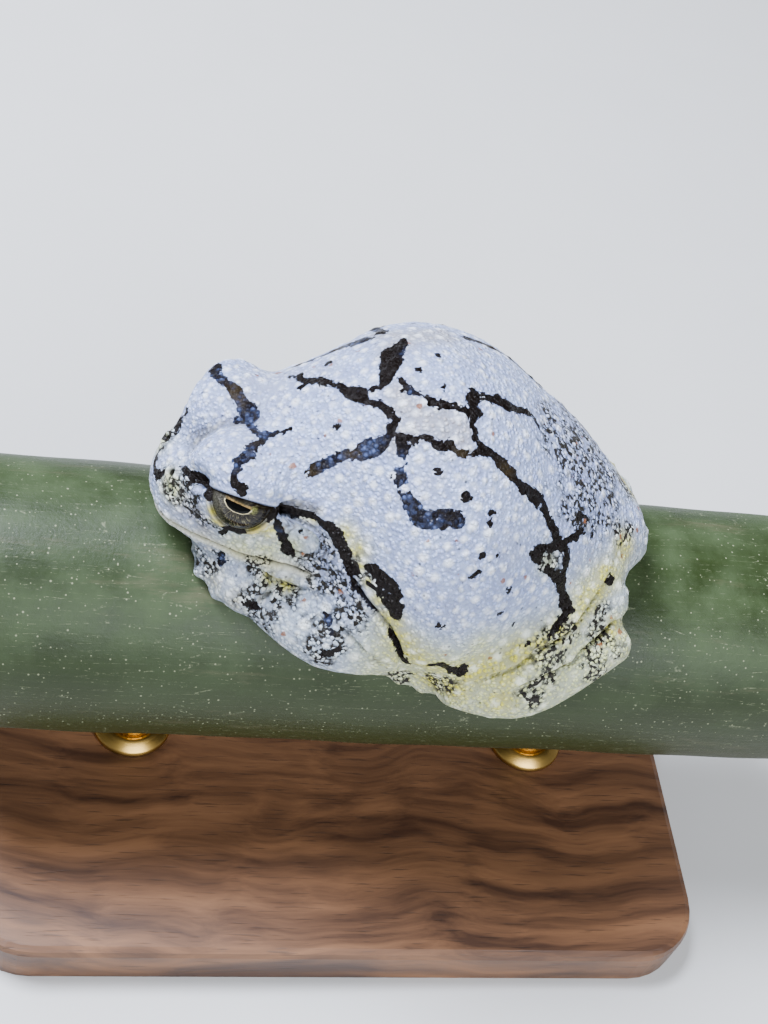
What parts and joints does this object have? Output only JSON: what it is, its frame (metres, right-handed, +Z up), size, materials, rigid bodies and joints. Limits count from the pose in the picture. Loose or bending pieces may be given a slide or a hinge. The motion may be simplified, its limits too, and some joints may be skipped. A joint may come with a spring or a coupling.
{
  "type": "tree frog on a perch",
  "caption": "Still, life-size gray tree frog crouched with folded legs on a cut length of thick green pole, held level on a flat display base by short rods.",
  "frame": {"origin": "middle of the stand base's underside, which is the bottom centre of the whole", "axes": "+Z up, the pole along X, the frog's head towards -X and its left side towards -Y"},
  "size_m": [0.086, 0.052, 0.0597],
  "materials": {
    "frog_skin": "moist granular skin, pale lavender grey with black marks and a cream to yellow-green underside",
    "frog_eye": "wet, clear cornea over a dark silver-olive iris with a gold-ringed black pupil",
    "green_stem": "smooth waxy green rind, weathered, with fine pale flecks and scratches",
    "stand_wood": "dark wood with a thin satin oil finish",
    "stand_brass": "brushed"
  },
  "bodies": {
    "root": {"head": "frog_skin", "jaw": "frog_skin", "torso": "frog_skin", "left_ear": "frog_skin", "right_ear": "frog_skin", "left_eye": "frog_eye", "right_eye": "frog_eye", "left_upper_arm": "frog_skin", "left_forearm": "frog_skin", "left_hand": "frog_skin", "right_upper_arm": "frog_skin", "right_forearm": "frog_skin", "right_hand": "frog_skin", "left_thigh": "frog_skin", "left_shank": "frog_skin", "left_foot": "frog_skin", "right_thigh": "frog_skin", "right_shank": "frog_skin", "right_foot": "frog_skin", "pole": "green_stem", "stand_base": "stand_wood", "stand_rod_front": "stand_brass", "stand_rod_back": "stand_brass"}
  },
  "joints": []
}
